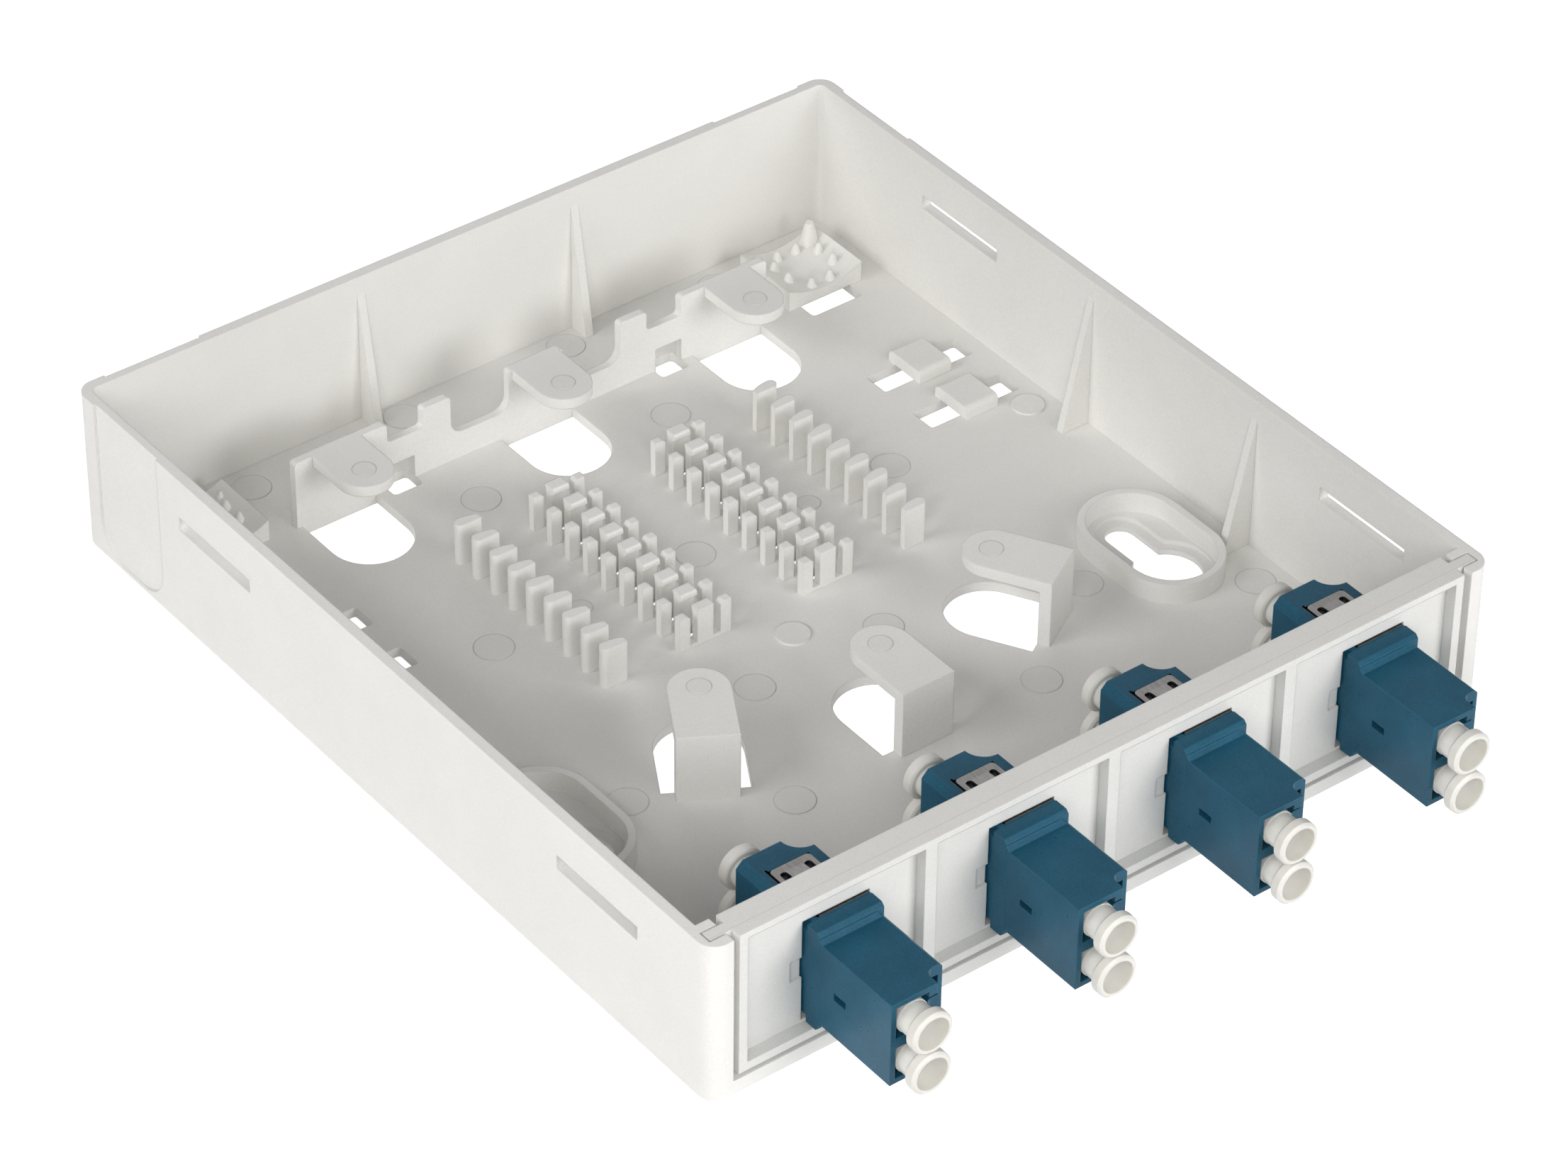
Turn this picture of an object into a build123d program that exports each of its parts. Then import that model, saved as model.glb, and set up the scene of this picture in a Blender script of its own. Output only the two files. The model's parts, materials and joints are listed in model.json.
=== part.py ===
import os
from math import cos, radians, sin

from build123d import *

os.makedirs("parts", exist_ok=True)

# Tray shell, standing on its back face, open at the top and the front
tray_width = 122.0
tray_depth = 136.5
tray_height = 24.5
wall = 1.5
floor_thick = 1.5
corner_radius = 2.5
inner_corner_radius = 1.0
bottom_edge_radius = 0.6
sill_height = 0.9
post_reach = 3.55

inner_x = tray_width / 2 - wall
front_y = -tray_depth / 2
rear_y = tray_depth / 2
inner_front_y = front_y + wall
inner_rear_y = rear_y - wall
sill_top = floor_thick + sill_height
floor_top = Plane.XY.offset(floor_thick)
inside_height = tray_height - floor_thick

# Grooves that hold the adapter plate
tongue_thick = 1.6
groove_clearance = 0.2
groove_bite = 0.4
lip_reach = 2.0
lip_thick = 1.35
groove_width = tongue_thick + 2 * groove_clearance
groove_rear_y = inner_front_y + groove_width

# Slots for the cover hooks in the side walls
cover_slot_length = 16.1
cover_slot_height = 2.1
cover_slot_z = 17.35
cover_slot_ys = (36.0, -46.0)

# Knock-out zones, thinned from outside
knockout_width = 14.6
knockout_radius = 5.0
knockout_bottom_z = 1.0
knockout_depth = 0.35
knockout_side_setback = 11.95
knockout_rear_inset = 11.85
knockout_side_y = rear_y - knockout_side_setback
knockout_rear_x = tray_width / 2 - knockout_rear_inset

# Gussets between floor and walls
gusset_height = 20.1
gusset_thick = 1.3
rear_gusset_base = 3.3
rear_gusset_x = 17.4
side_gusset_base = 4.4
side_gusset_ys = (8.3, -24.8)

# Ridge wall with three holding tabs
ridge_setback = 15.1
ridge_front_y = inner_rear_y - ridge_setback
ridge_thick = 1.2
ridge_half_length = 38.6
ridge_high = 10.6
ridge_middle = 7.5
ridge_low = 4.2
shoulder_start_x = 24.0
merlon_x = 16.1
merlon_width = 4.5
tab_pitch = 31.9
tab_back_width = 8.9
ridge_corner_radius = 0.6
ridge_hollow_radius = 2.0
tab_width = 7.75
tab_reach = 10.2
tab_thick = 1.6
tab_hole_width = 11.8
tab_hole_straight = 7.1
ridge_window_x = 22.0
ridge_window_width = 4.3
ridge_window_height = 3.6
ridge_floor_hole_width = 4.6
ridge_floor_hole_front = 1.75
ridge_floor_hole_rear = 2.4
ridge_floor_hole_radius = 0.6

# Guide fingers for the fibre loop
finger_width = 8.15
finger_length = 13.6
finger_thick = 1.7
finger_height = 10.1
finger_hole_width = 11.6
finger_hole_length = 14.2
finger_places = ((0.0, -32.6, 90.0), (-28.35, -24.5, 60.0), (28.35, -24.5, 120.0))

# Fin combs beside the splice holders
comb_x = 24.3
comb_rows = 9
comb_pitch = 4.0
comb_y = 17.25
fin_length = 3.7
fin_thick = 1.6
fin_tip_thick = 0.95
fin_height = 6.4

# Splice holders
holder_x = 9.9
prong_width = 1.7
prong_gap = 1.15
hook_width = 2.55
prong_thick = 1.15
prong_height = 5.4
prong_chamfer = 0.45
hook_height = 5.75
hook_lip_height = 0.9
hook_lip_reach = 0.5
hook_lip_slope = 0.35
hook_rear_reach = 0.3
hook_rear_taper = 1.5
hook_chamfer = 0.25
holder_web_height = 0.6
holder_hole_length = 1.8
holder_hole_width = 1.95
prong_x = hook_width / 2 + prong_gap + prong_width / 2

# Cable tie bridges
tie_inset = 10.0
tie_x = inner_x - tie_inset
tie_ys = (31.35, 21.25)
tie_slot_length = 15.2
tie_slot_width = 4.2
tie_slot_radius = 0.4
tie_bridge_length = 5.4
tie_bridge_width = 6.9
tie_bridge_height = 1.9
tie_bridge_radius = 0.9

# Keyhole slots for the wall screws, each in an oval collar
keyhole_inset = 11.9
keyhole_x = inner_x - keyhole_inset
keyhole_y = -23.05
keyhole_head_diameter = 9.6
keyhole_slot_width = 4.3
keyhole_travel = 9.5
keyhole_thinning = 1.3
keyhole_floor = 0.8
collar_centre_y = -19.55
collar_width = 14.6
collar_length = 22.3
collar_wall = 1.1
collar_height = 3.1

# Strain relief pads at the rear corners, hollowed along their length
pad_inset = 10.4
pad_x = inner_x - pad_inset
pad_front_gap = 0.2
pad_front_y = ridge_front_y + pad_front_gap
pad_width = 12.6
pad_length = 11.2
pad_height = 3.3
pad_hollow = 1.7
pad_cone_ring = 4.2
pad_cones = 8
pad_ring_y = 5.0
cone_base_radius = 0.85
cone_tip_radius = 0.25
cone_height = 1.4
cone_sink = 0.25
pad_post_x = 4.3
pad_post_y = 9.3
pad_post_base_radius = 1.9
pad_post_tip_radius = 0.6
pad_post_height = 5.4
pad_stud_x = -4.5
pad_stud_y = 8.9
pad_stud_radius = 1.1
pad_stud_height = 3.4
pad_slot_length = 8.6
pad_slot_front = 2.9
pad_slot_rear = 2.3
pad_slot_radius = 0.6
pad_side_slot_length = 4.2
pad_side_slot_width = 1.3
pad_side_slot_gap = 0.65
pad_side_slot_y = 7.0

# Low bosses on the floor
boss_height = 0.3
front_boss_y = -4.85
front_boss_radius = 2.35
side_boss_inset = 4.0
side_boss_x = inner_x - side_boss_inset
side_boss_y = 15.45
side_boss_radius = 2.3

# Adapter plate with a field for each adapter
adapter_count = 4
plate_clearance_x = 0.2
frame_gap = 0.95
frame_half_width = tray_width / 2 - post_reach - frame_gap
frame_setback = 0.25
frame_bottom_gap = 0.4
plate_depth = 4.85
plate_rear_y = front_y + plate_depth
field_depth = 1.7
field_side_border = 1.3
field_rib = 1.87
fields_width = 2 * (frame_half_width - field_side_border) - (adapter_count - 1) * field_rib
field_width = fields_width / adapter_count
field_pitch = field_width + field_rib
field_top_border = 1.0
field_bottom_z = 4.1
window_width = 10.0
window_height = 15.4
catch_notch_width = 1.7
catch_notch_height = 3.1
catch_notch_depth = 0.4
catch_notch_rise = 0.6

# Adapters
adapter_shift = 1.1
adapter_z = 12.25
port_pitch = 6.25
port_size = 4.8
port_shift = -1.6
joint_setback = 1.3
joint_y = front_y + joint_setback
body_width = 9.5
front_body_height = 12.5
front_reach = 15.96
collar_front_reach = 2.4
adapter_collar_width = 9.6
adapter_collar_height = 15.2
adapter_edge = 0.5
rear_reach = 13.9
rear_body_height = 15.0
rear_edge_chamfer = 1.0
web_thick = 2.2
latch_length = 3.3
latch_height = 3.2
corner_notch = 1.2
corner_notch_depth = 1.6
side_window_length = 2.3
side_window_height = 1.1
side_window_reach = 5.0
side_window_y = front_y - side_window_reach
rear_notch_radius = 2.85

# Sleeve holder and ceramic sleeves inside each adapter
holder_flange_width = 4.4
holder_flange_height = 10.6
holder_flange_thick = 0.8
holder_tube_diameter = 2.5
holder_tube_bore = 1.75
holder_tube_length = 8.6
holder_fit = 0.05
sleeve_diameter = 1.62
sleeve_bore = 1.25
sleeve_length = 6.8
sleeve_slit = 0.3
bore_lip = 0.6

# Spring clip: a strap round the right side with a leaf on the top and the bottom
clip_thick = 0.3
clip_pocket_clearance = 0.05
clip_inset_left = 2.1
clip_inset_right = 1.4
clip_setback = 0.4
clip_length = 9.9
clip_front_y = joint_y + clip_setback
clip_rear_y = clip_front_y + clip_length
clip_strap_length = 2.8
clip_slot_width = 1.0
clip_slot_spacing = 3.6
clip_slot_setback = 1.1
clip_tongue_gap = 0.1
clip_tongue_rise = 0.5

# Dust caps
cap_flange_diameter = 5.95
cap_flange_length = 1.7
cap_neck_diameter = 4.4
cap_neck_length = 2.3
cap_stem_diameter = 4.6
cap_stem_length = 5.5
cap_cup_diameter = 4.6
cap_cup_depth = 2.9
cap_bore_diameter = 3.0
cap_bore_depth = 4.6
cap_rim_bevel = 0.3


def comb_row_ys():
    first = comb_y + comb_pitch * (comb_rows - 1) / 2
    return [first - comb_pitch * row for row in range(comb_rows)]


def field_x(number):
    return (number - 1 - (adapter_count - 1) / 2) * field_pitch


row_ys = comb_row_ys()
on_base = (Align.CENTER, Align.CENTER, Align.MIN)

with BuildPart() as tray:
    with BuildSketch():
        RectangleRounded(tray_width, tray_depth, corner_radius)
    extrude(amount=tray_height)
    fillet(tray.faces().sort_by(Axis.Z)[0].edges(), bottom_edge_radius)
    with BuildSketch(floor_top):
        RectangleRounded(tray_width - 2 * wall, tray_depth - 2 * wall, inner_corner_radius)
    extrude(amount=inside_height, mode=Mode.SUBTRACT)

    # Front opening between the posts, above the sill
    with BuildSketch(Plane.XY.offset(sill_top)):
        with Locations((0, front_y)):
            Rectangle(tray_width - 2 * post_reach, 3 * wall)
    extrude(amount=tray_height, mode=Mode.SUBTRACT)

    # Plate grooves in the side walls and the lips behind them
    with BuildSketch(floor_top):
        with Locations((0, inner_front_y)):
            Rectangle(
                2 * (inner_x + groove_bite), groove_width, align=(Align.CENTER, Align.MIN)
            )
    extrude(amount=inside_height, mode=Mode.SUBTRACT)
    with BuildSketch(floor_top):
        for side in (-1, 1):
            with Locations((side * (inner_x - lip_reach / 2), groove_rear_y + lip_thick / 2)):
                Rectangle(lip_reach, lip_thick)
    extrude(amount=inside_height)

    # Cover slots right through both side walls
    with BuildSketch(Plane.YZ):
        for slot_y in cover_slot_ys:
            with Locations((slot_y, cover_slot_z)):
                Rectangle(cover_slot_length, cover_slot_height)
    extrude(amount=tray_width, both=True, mode=Mode.SUBTRACT)

    # Knock-out zones
    for side in (-1, 1):
        with BuildSketch(Plane.YZ.offset(side * tray_width / 2)):
            with Locations((knockout_side_y, knockout_bottom_z)):
                RectangleRounded(
                    knockout_width, 2 * tray_height, knockout_radius,
                    align=(Align.CENTER, Align.MIN),
                )
        extrude(amount=-side * knockout_depth, mode=Mode.SUBTRACT)
    with BuildSketch(Plane.XZ.offset(-rear_y)):
        for side in (-1, 1):
            with Locations((side * knockout_rear_x, knockout_bottom_z)):
                RectangleRounded(
                    knockout_width, 2 * tray_height, knockout_radius,
                    align=(Align.CENTER, Align.MIN),
                )
    extrude(amount=knockout_depth, mode=Mode.SUBTRACT)

    # Gussets
    for side in (-1, 1):
        rear_gusset_plane = Plane(
            origin=(side * rear_gusset_x, inner_rear_y, floor_thick),
            x_dir=(0, -1, 0), z_dir=(-1, 0, 0),
        )
        with BuildSketch(rear_gusset_plane):
            with BuildLine():
                Polyline((0, 0), (rear_gusset_base, 0), (0, gusset_height), close=True)
            make_face()
        extrude(amount=gusset_thick / 2, both=True)
        for gusset_y in side_gusset_ys:
            side_gusset_plane = Plane(
                origin=(side * inner_x, gusset_y, floor_thick),
                x_dir=(-side, 0, 0), z_dir=(0, side, 0),
            )
            with BuildSketch(side_gusset_plane):
                with BuildLine():
                    Polyline((0, 0), (side_gusset_base, 0), (0, gusset_height), close=True)
                make_face()
            extrude(amount=gusset_thick / 2, both=True)

    # Ridge wall: low and middle runs, merlons, tab backs
    bottom_middle = (Align.CENTER, Align.MIN)
    shoulder_width = ridge_half_length - shoulder_start_x
    middle_width = shoulder_start_x - merlon_x
    with BuildSketch(Plane.XZ.offset(-ridge_front_y)) as ridge_outline:
        with Locations((0, floor_thick)):
            Rectangle(2 * merlon_x, ridge_low, align=bottom_middle)
            Rectangle(tab_back_width, ridge_high, align=bottom_middle)
        for side in (-1, 1):
            with Locations((side * merlon_x, floor_thick)):
                Rectangle(merlon_width, ridge_high, align=bottom_middle)
            with Locations((side * (merlon_x + middle_width / 2), floor_thick)):
                Rectangle(middle_width, ridge_middle, align=bottom_middle)
            with Locations((side * (shoulder_start_x + shoulder_width / 2), floor_thick)):
                Rectangle(shoulder_width, ridge_high, align=bottom_middle)
        low_z = floor_thick + ridge_low
        hollows = ridge_outline.vertices().filter_by_position(Axis.Y, low_z - wall, low_z + wall)
        fillet(hollows, ridge_hollow_radius)
        upper = ridge_outline.vertices().filter_by_position(
            Axis.Y, floor_thick + ridge_middle - ridge_corner_radius, tray_height
        )
        fillet(upper, ridge_corner_radius)
    extrude(amount=-ridge_thick)

    # Holding tabs and the holes below them
    tab_radius = tab_width / 2
    with BuildSketch(Plane.XY.offset(floor_thick + ridge_high - tab_thick)):
        with Locations((-tab_pitch, ridge_front_y), (0, ridge_front_y), (tab_pitch, ridge_front_y)):
            Rectangle(tab_width, tab_reach - tab_radius, align=(Align.CENTER, Align.MAX))
        tab_arc_y = ridge_front_y - tab_reach + tab_radius
        with Locations((-tab_pitch, tab_arc_y), (0, tab_arc_y), (tab_pitch, tab_arc_y)):
            Circle(tab_radius)
    extrude(amount=tab_thick)
    with BuildSketch():
        hole_arc_y = ridge_front_y - tab_hole_straight
        with Locations((-tab_pitch, ridge_front_y), (0, ridge_front_y), (tab_pitch, ridge_front_y)):
            Rectangle(tab_hole_width, tab_hole_straight, align=(Align.CENTER, Align.MAX))
        with Locations((-tab_pitch, hole_arc_y), (0, hole_arc_y), (tab_pitch, hole_arc_y)):
            Circle(tab_hole_width / 2)
    extrude(amount=floor_thick, mode=Mode.SUBTRACT)

    # Small windows at the foot of the ridge, each with a hole in the floor before it
    with BuildSketch(Plane.XZ.offset(-ridge_front_y)):
        for side in (-1, 1):
            with Locations((side * ridge_window_x, floor_thick)):
                Rectangle(ridge_window_width, ridge_window_height, align=bottom_middle)
    extrude(amount=-ridge_thick, mode=Mode.SUBTRACT)
    with BuildSketch():
        for side in (-1, 1):
            with Locations((side * ridge_window_x, ridge_front_y + ridge_floor_hole_rear)):
                RectangleRounded(
                    ridge_floor_hole_width, ridge_floor_hole_front + ridge_floor_hole_rear,
                    ridge_floor_hole_radius, align=(Align.CENTER, Align.MAX),
                )
    extrude(amount=floor_thick, mode=Mode.SUBTRACT)

    # Guide fingers: a leg, a tongue with a round end and the hole below it
    finger_radius = finger_width / 2
    finger_hole_radius = finger_hole_width / 2
    for finger_x, finger_y, heading in finger_places:
        ahead = (cos(radians(heading)), sin(radians(heading)), 0)
        leg_plane = Plane(origin=(finger_x, finger_y, floor_thick), x_dir=ahead, z_dir=(0, 0, 1))
        with BuildSketch(leg_plane):
            Rectangle(finger_thick, finger_width, align=(Align.MIN, Align.CENTER))
        extrude(amount=finger_height)
        with BuildSketch(leg_plane.offset(finger_height - finger_thick)):
            Rectangle(
                finger_length - finger_radius, finger_width, align=(Align.MIN, Align.CENTER)
            )
            with Locations((finger_length - finger_radius, 0)):
                Circle(finger_radius)
        extrude(amount=finger_thick)
        with BuildSketch(leg_plane.offset(-floor_thick)):
            with Locations((finger_thick, 0)):
                Rectangle(
                    finger_hole_length - finger_hole_radius, finger_hole_width,
                    align=(Align.MIN, Align.CENTER),
                )
            with Locations((finger_thick + finger_hole_length - finger_hole_radius, 0)):
                Circle(finger_hole_radius)
        extrude(amount=floor_thick, mode=Mode.SUBTRACT)

    # Cable tie bridges over slots in the floor
    with BuildSketch():
        for side in (-1, 1):
            for tie_y in tie_ys:
                with Locations((side * tie_x, tie_y)):
                    RectangleRounded(tie_slot_length, tie_slot_width, tie_slot_radius)
    extrude(amount=floor_thick, mode=Mode.SUBTRACT)
    for side in (-1, 1):
        for tie_y in tie_ys:
            with BuildSketch(Plane.YZ.offset(side * tie_x)) as loaf:
                with Locations((tie_y, floor_thick)):
                    Rectangle(tie_bridge_width, tie_bridge_height, align=bottom_middle)
                fillet(loaf.vertices().group_by(Axis.Y)[-1], tie_bridge_radius)
            extrude(amount=tie_bridge_length / 2, both=True)

    # Keyholes: oval collar, thinned floor and the keyhole itself
    for side in (-1, 1):
        keyhole_plane = Plane(
            origin=(side * keyhole_x, keyhole_y, 0), x_dir=(0, 1, 0), z_dir=(0, 0, 1)
        )
        collar_shift = collar_centre_y - keyhole_y
        with BuildSketch(keyhole_plane.offset(floor_thick)):
            with Locations((collar_shift, 0)):
                SlotOverall(collar_length, collar_width)
                SlotOverall(
                    collar_length - 2 * collar_wall, collar_width - 2 * collar_wall,
                    mode=Mode.SUBTRACT,
                )
        extrude(amount=collar_height)
        with BuildSketch(keyhole_plane.offset(keyhole_floor)):
            Circle(keyhole_head_diameter / 2 + keyhole_thinning)
            Rectangle(
                keyhole_travel, keyhole_slot_width + 2 * keyhole_thinning,
                align=(Align.MIN, Align.CENTER),
            )
            with Locations((keyhole_travel, 0)):
                Circle(keyhole_slot_width / 2 + keyhole_thinning)
        extrude(amount=floor_thick - keyhole_floor, mode=Mode.SUBTRACT)
        with BuildSketch(keyhole_plane):
            Circle(keyhole_head_diameter / 2)
            Rectangle(keyhole_travel, keyhole_slot_width, align=(Align.MIN, Align.CENTER))
            with Locations((keyhole_travel, 0)):
                Circle(keyhole_slot_width / 2)
        extrude(amount=keyhole_floor, mode=Mode.SUBTRACT)

    # Strain relief pads: hollowed platform, ring of cones, post, stud and two slots
    pad_top_z = floor_thick + pad_height
    pad_low_z = pad_top_z - pad_hollow
    for side in (-1, 1):
        centre_x = side * pad_x
        with BuildSketch(Plane.XZ.offset(-pad_front_y)):
            with BuildLine():
                pad_left = centre_x - pad_width / 2
                pad_right = centre_x + pad_width / 2
                ThreePointArc((pad_left, pad_top_z), (centre_x, pad_low_z), (pad_right, pad_top_z))
                Polyline(
                    (pad_right, pad_top_z), (pad_right, floor_thick), (pad_left, floor_thick),
                    (pad_left, pad_top_z),
                )
            make_face()
        extrude(amount=-pad_length)
        ring_y = pad_front_y + pad_ring_y
        for cone in range(pad_cones):
            turn = radians((cone + 0.5) * 360 / pad_cones)
            cone_rise = pad_hollow * (2 * pad_cone_ring * cos(turn) / pad_width) ** 2
            with Locations(
                (
                    centre_x + pad_cone_ring * cos(turn), ring_y + pad_cone_ring * sin(turn),
                    pad_low_z + cone_rise - cone_sink,
                )
            ):
                Cone(cone_base_radius, cone_tip_radius, cone_height + cone_sink, align=on_base)
        with Locations((centre_x + side * pad_post_x, pad_front_y + pad_post_y, floor_thick)):
            Cone(pad_post_base_radius, pad_post_tip_radius, pad_post_height, align=on_base)
        with Locations((centre_x + side * pad_stud_x, pad_front_y + pad_stud_y, floor_thick)):
            Cone(pad_stud_radius, cone_tip_radius, pad_stud_height, align=on_base)
        with BuildSketch():
            pad_slot_width = pad_slot_front + pad_slot_rear
            with Locations((centre_x, pad_front_y + pad_slot_rear - pad_slot_width / 2)):
                RectangleRounded(pad_slot_length, pad_slot_width, pad_slot_radius)
            side_slot_x = pad_x + pad_width / 2 + pad_side_slot_gap + pad_side_slot_width / 2
            with Locations((side * side_slot_x, pad_front_y + pad_side_slot_y)):
                Rectangle(pad_side_slot_width, pad_side_slot_length)
        extrude(amount=floor_thick, mode=Mode.SUBTRACT)

    # Low round bosses on the floor
    with BuildSketch(floor_top):
        with Locations((0, front_boss_y)):
            Circle(front_boss_radius)
        with Locations((-side_boss_x, side_boss_y), (side_boss_x, side_boss_y)):
            Circle(side_boss_radius)
    extrude(amount=boss_height)

    # Fin combs: fins with a thick round outer end and a bowed rear face
    with BuildSketch(floor_top):
        for side in (-1, 1):
            for row_y in row_ys:
                fin_inner_x = side * (comb_x - fin_length / 2)
                fin_outer_x = side * (comb_x + fin_length / 2)
                fin_round_x = side * (comb_x + fin_length / 2 - fin_thick / 2)
                fin_front_y = row_y - fin_thick / 2
                with BuildLine():
                    Line((fin_inner_x, fin_front_y), (fin_round_x, fin_front_y))
                    ThreePointArc(
                        (fin_round_x, fin_front_y), (fin_outer_x, row_y),
                        (fin_round_x, row_y + fin_thick / 2),
                    )
                    TangentArc(
                        (fin_round_x, row_y + fin_thick / 2),
                        (fin_inner_x, fin_front_y + fin_tip_thick),
                        tangent=(-side, 0),
                    )
                    Line((fin_inner_x, fin_front_y + fin_tip_thick), (fin_inner_x, fin_front_y))
                make_face()
    extrude(amount=fin_height)

    # Splice holders: two outer prongs and a hooked centre prong in each row
    prong_top = floor_thick + prong_height
    for row_y in row_ys:
        with BuildSketch(Plane.XZ.offset(-row_y)):
            for side in (-1, 1):
                for prong_side in (-1, 1):
                    near_x = side * holder_x + prong_side * (hook_width / 2 + prong_gap)
                    far_x = near_x + prong_side * prong_width
                    with BuildLine():
                        Polyline(
                            (near_x, floor_thick), (far_x, floor_thick), (far_x, prong_top),
                            (near_x + prong_side * prong_chamfer, prong_top),
                            (near_x, prong_top - prong_chamfer),
                            close=True,
                        )
                    make_face()
        extrude(amount=prong_thick / 2, both=True)
    with BuildSketch(floor_top):
        for side in (-1, 1):
            for row_y in row_ys:
                with Locations((side * holder_x, row_y)):
                    Rectangle(hook_width, prong_thick)
    extrude(amount=hook_height)
    with BuildSketch(floor_top):
        for side in (-1, 1):
            with Locations((side * holder_x, row_ys[-1])):
                Rectangle(2 * prong_x + prong_width, prong_thick)
    extrude(amount=holder_web_height)
    hook_top = floor_thick + hook_height
    lip_foot = hook_top - hook_lip_height
    for side in (-1, 1):
        with BuildSketch(Plane.YZ.offset(side * holder_x)):
            for row_y in row_ys:
                hook_rear_y = row_y + prong_thick / 2
                with BuildLine():
                    Polyline(
                        (row_y, hook_top), (hook_rear_y + hook_rear_reach, hook_top),
                        (hook_rear_y, hook_top - hook_rear_taper),
                        (row_y, hook_top - hook_rear_taper),
                        close=True,
                    )
                make_face()
            for row_y in row_ys[:-1]:
                hook_front_y = row_y - prong_thick / 2
                lip_front_y = hook_front_y - hook_lip_reach
                with BuildLine():
                    Polyline(
                        (row_y, hook_top), (lip_front_y + hook_chamfer, hook_top),
                        (lip_front_y, hook_top - hook_chamfer), (lip_front_y, lip_foot),
                        (hook_front_y, lip_foot - hook_lip_slope),
                        (row_y, lip_foot - hook_lip_slope),
                        close=True,
                    )
                make_face()
        extrude(amount=hook_width / 2, both=True)
    with BuildSketch():
        for side in (-1, 1):
            for row_y in row_ys[:-1]:
                with Locations((side * holder_x, row_y - prong_thick / 2)):
                    Rectangle(
                        holder_hole_length, holder_hole_width, align=(Align.CENTER, Align.MAX)
                    )
    extrude(amount=floor_thick, mode=Mode.SUBTRACT)

tray.part.label = "tray"
export_step(tray.part, "parts/tray.step")

plate_half_width = inner_x + groove_bite - plate_clearance_x
tongue_front_y = inner_front_y + groove_clearance
frame_front_y = front_y + frame_setback
field_face_y = frame_front_y + field_depth
frame_bottom_z = sill_top + frame_bottom_gap

with BuildPart() as adapter_plate:
    with BuildSketch(floor_top):
        with Locations((0, tongue_front_y)):
            Rectangle(2 * plate_half_width, tongue_thick, align=(Align.CENTER, Align.MIN))
        with Locations((0, tongue_front_y)):
            Rectangle(
                2 * frame_half_width, plate_rear_y - tongue_front_y,
                align=(Align.CENTER, Align.MIN),
            )
    extrude(amount=inside_height)
    with BuildSketch(Plane.XY.offset(frame_bottom_z)):
        with Locations((0, frame_front_y)):
            Rectangle(
                2 * frame_half_width, tongue_front_y - frame_front_y,
                align=(Align.CENTER, Align.MIN),
            )
    extrude(amount=tray_height - frame_bottom_z)

    # Recessed fields
    field_height = tray_height - field_top_border - field_bottom_z
    with BuildSketch(Plane.XZ.offset(-frame_front_y)):
        for number in range(1, adapter_count + 1):
            with Locations((field_x(number), field_bottom_z)):
                Rectangle(field_width, field_height, align=(Align.CENTER, Align.MIN))
    extrude(amount=-field_depth, mode=Mode.SUBTRACT)

    # Adapter windows and the catch notch beside each
    with BuildSketch(Plane.XZ.offset(-frame_front_y)):
        for number in range(1, adapter_count + 1):
            with Locations((field_x(number) + adapter_shift, adapter_z)):
                Rectangle(window_width, window_height)
    extrude(amount=-tray_depth / 2, mode=Mode.SUBTRACT)
    with BuildSketch(Plane.XZ.offset(-field_face_y)):
        for number in range(1, adapter_count + 1):
            notch_x = field_x(number) + adapter_shift - window_width / 2
            with Locations((notch_x, adapter_z + catch_notch_rise)):
                Rectangle(
                    catch_notch_width, catch_notch_height, align=(Align.MAX, Align.CENTER)
                )
    extrude(amount=-catch_notch_depth, mode=Mode.SUBTRACT)

adapter_plate.part.label = "adapter_plate"
export_step(adapter_plate.part, "parts/adapter_plate.step")

# One adapter on x = 0, then placed four times
joint_plane = Plane.XZ.offset(-joint_y)
nose_plane = Plane.XZ.offset(-(joint_y - front_reach))
tail_plane = Plane.XZ.offset(-(joint_y + rear_reach))
port_zs = (adapter_z + port_pitch / 2, adapter_z - port_pitch / 2)
port_right_x = port_shift + port_size / 2

with BuildPart() as front_shell:
    with BuildSketch(joint_plane):
        with Locations((0, adapter_z)):
            Rectangle(body_width, front_body_height)
    extrude(amount=front_reach)
    chamfer(front_shell.edges().filter_by(Axis.Y).group_by(Axis.X)[-1], adapter_edge)
    with BuildSketch(joint_plane):
        with Locations((0, adapter_z)):
            Rectangle(adapter_collar_width, adapter_collar_height)
    extrude(amount=collar_front_reach)
    collar_front = front_shell.faces().filter_by(Axis.Y).sort_by(Axis.Y)[1]
    chamfer(collar_front.edges().filter_by(Axis.X), adapter_edge)

    # Plug cavities with their latch slots
    with BuildSketch(nose_plane):
        for port_z in port_zs:
            with Locations((port_shift, port_z)):
                Rectangle(port_size, port_size)
            with Locations((port_right_x, port_z)):
                Rectangle(latch_length, latch_height, align=(Align.MIN, Align.CENTER))
    extrude(amount=-(front_reach - web_thick), mode=Mode.SUBTRACT)

    # Corner notches beside the latches
    with BuildSketch(nose_plane):
        for half in (-1, 1):
            with Locations((body_width / 2, adapter_z + half * front_body_height / 2)):
                Rectangle(2 * corner_notch, 2 * corner_notch)
    extrude(amount=-corner_notch_depth, mode=Mode.SUBTRACT)

    # Small window in the left side
    with BuildSketch(Plane.YZ.offset(-body_width / 2)):
        with Locations((side_window_y, adapter_z)):
            Rectangle(side_window_length, side_window_height)
    extrude(amount=body_width / 4, mode=Mode.SUBTRACT)

    # Seat of the sleeve holder
    with BuildSketch(joint_plane):
        with Locations((port_shift, adapter_z)):
            Rectangle(holder_flange_width, holder_flange_height)
    extrude(amount=holder_flange_thick / 2, mode=Mode.SUBTRACT)
    with BuildSketch(joint_plane):
        for port_z in port_zs:
            with Locations((port_shift, port_z)):
                Circle(holder_tube_diameter / 2 + holder_fit)
    extrude(amount=web_thick, mode=Mode.SUBTRACT)

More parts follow.
